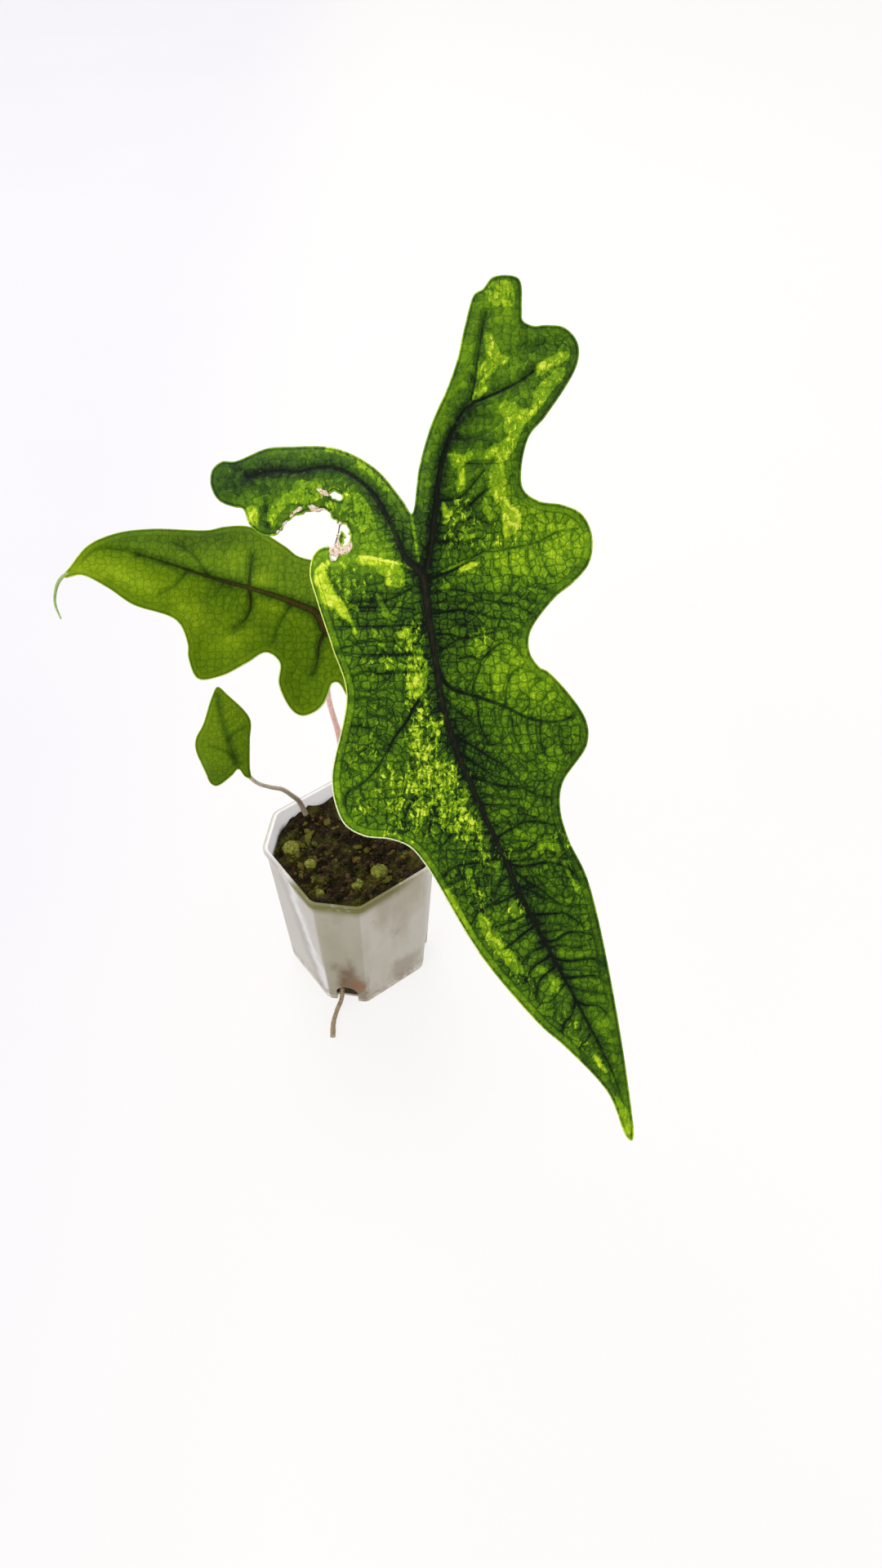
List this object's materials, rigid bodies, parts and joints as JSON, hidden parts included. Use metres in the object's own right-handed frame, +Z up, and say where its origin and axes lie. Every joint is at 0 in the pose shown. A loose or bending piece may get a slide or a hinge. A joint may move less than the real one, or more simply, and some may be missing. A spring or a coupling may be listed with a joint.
{
  "type": "potted variegated jacklyn alocasia",
  "caption": "Young lobed house plant with three marbled leaves on long stalks, growing in a small square translucent nursery pot filled with mossy potting mix",
  "frame": {"origin": "the middle of the underside of the pot's floor, on the surface that the pot stands on", "axes": "+Z up; +Y away from the viewer of the picture, +X to the viewer's right, so that one cut corner of the pot faces -Y; the square's sides are turned 37.2 degrees about Z"},
  "size_m": [0.1735, 0.1882, 0.2904],
  "materials": {
    "pot": "satin",
    "soil": "matte",
    "stem": "matte",
    "petiole_green": "satin",
    "petiole_pink": "satin",
    "petiole_pale": "satin",
    "root": "matte",
    "moss": "matte",
    "leaf_marbled": "satin",
    "leaf_plain": "satin",
    "leaf_young": "satin"
  },
  "bodies": {
    "root": {"pot": "pot", "soil": "soil", "stem_base": "stem", "petiole_1": "petiole_green", "petiole_2": "petiole_pink", "petiole_3": "petiole_pale", "root": "root", "moss_1": "moss", "moss_2": "moss", "moss_3": "moss", "moss_4": "moss", "moss_5": "moss", "moss_6": "moss", "moss_7": "moss", "leaf_1": "leaf_marbled", "leaf_2": "leaf_plain", "leaf_3": "leaf_young"}
  },
  "joints": []
}
